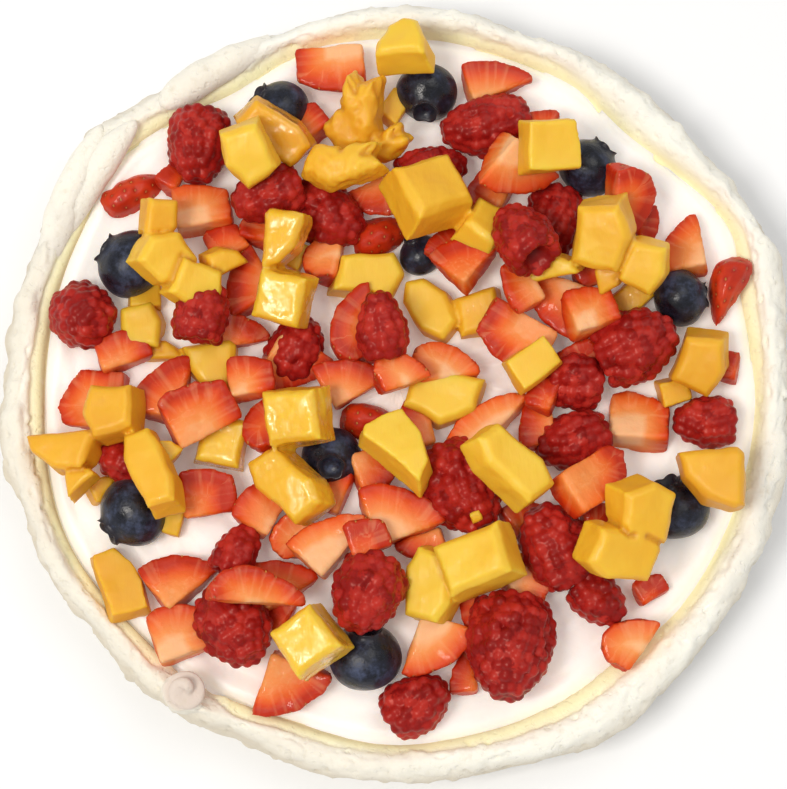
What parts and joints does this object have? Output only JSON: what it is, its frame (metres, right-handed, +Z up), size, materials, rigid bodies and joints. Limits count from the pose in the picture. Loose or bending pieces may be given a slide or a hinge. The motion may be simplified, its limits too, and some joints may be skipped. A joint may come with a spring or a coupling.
{
  "type": "fruit torte",
  "caption": "Round piped meringue shell filled with whipped cream and heaped with cut strawberries, raspberries, blueberries and mango.",
  "frame": {"origin": "middle of the flat underside of the meringue", "axes": "+Z up, -Y to the front, +X to the right seen from the front"},
  "size_m": [0.2016, 0.1999, 0.0547],
  "materials": {
    "meringue": "dry baked meringue, finely pitted, matt",
    "cream": "whipped cream, soft satin",
    "strawberry": "wet cut fruit and seeded skin, glossy",
    "raspberry": "drupelets, satin with fine highlights",
    "blueberry": "waxy bloom, satin",
    "mango": "wet cut fruit, glossy"
  },
  "bodies": {
    "root": {"meringue_shell": "meringue", "whipped_cream": "cream", "blueberry_01": "blueberry", "blueberry_02": "blueberry", "blueberry_03": "blueberry", "blueberry_04": "blueberry", "blueberry_05": "blueberry", "blueberry_06": "blueberry", "blueberry_07": "blueberry", "blueberry_08": "blueberry", "blueberry_09": "blueberry", "blueberry_10": "blueberry", "raspberry_01": "raspberry", "raspberry_02": "raspberry", "raspberry_03": "raspberry", "raspberry_04": "raspberry", "raspberry_05": "raspberry", "raspberry_06": "raspberry", "raspberry_07": "raspberry", "raspberry_08": "raspberry", "raspberry_09": "raspberry", "raspberry_10": "raspberry", "raspberry_11": "raspberry", "raspberry_12": "raspberry", "raspberry_13": "raspberry", "raspberry_14": "raspberry", "raspberry_15": "raspberry", "raspberry_16": "raspberry", "strawberry_01": "strawberry", "strawberry_02": "strawberry", "strawberry_03": "strawberry", "strawberry_04": "strawberry", "strawberry_05": "strawberry", "strawberry_06": "strawberry", "strawberry_07": "strawberry", "strawberry_08": "strawberry", "strawberry_09": "strawberry", "strawberry_10": "strawberry", "mango_01": "mango", "mango_02": "mango", "mango_03": "mango", "mango_04": "mango", "mango_05": "mango", "mango_06": "mango", "mango_07": "mango", "mango_08": "mango", "mango_09": "mango", "mango_10": "mango", "mango_11": "mango", "mango_12": "mango", "mango_13": "mango", "mango_14": "mango", "mango_15": "mango", "mango_16": "mango", "mango_17": "mango", "mango_18": "mango", "mango_19": "mango", "mango_20": "mango", "mango_21": "mango", "mango_22": "mango"}
  },
  "joints": []
}
